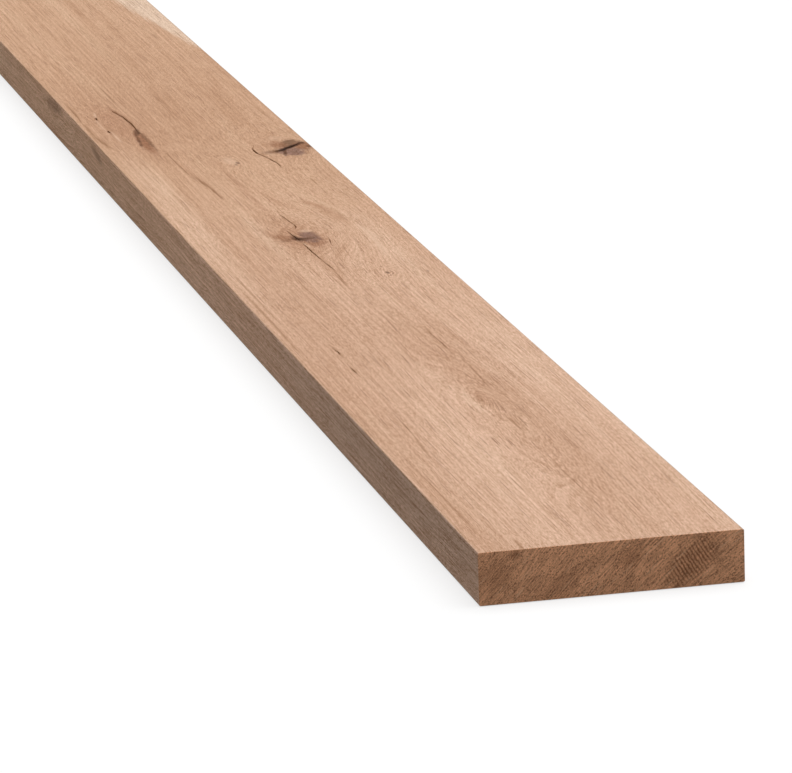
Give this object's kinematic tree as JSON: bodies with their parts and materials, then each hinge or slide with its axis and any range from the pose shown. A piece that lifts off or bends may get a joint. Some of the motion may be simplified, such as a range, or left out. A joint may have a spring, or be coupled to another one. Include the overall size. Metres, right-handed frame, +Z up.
{
  "type": "timber plank",
  "caption": "Long flat solid-oak plank with planed faces, eased long edges, square-sawn ends and drying checks at its knots; building and joinery timber laid or fixed flat.",
  "frame": {"origin": "centre of the underside, on the floor the plank lies on", "axes": "+X along the plank towards the pictured end, +Y across it towards the picture's right edge, +Z up out of the best face"},
  "size_m": [2, 0.1, 0.02],
  "materials": {
    "oak": "planed, unfinished"
  },
  "bodies": {
    "root": {"plank": "oak"}
  },
  "joints": []
}
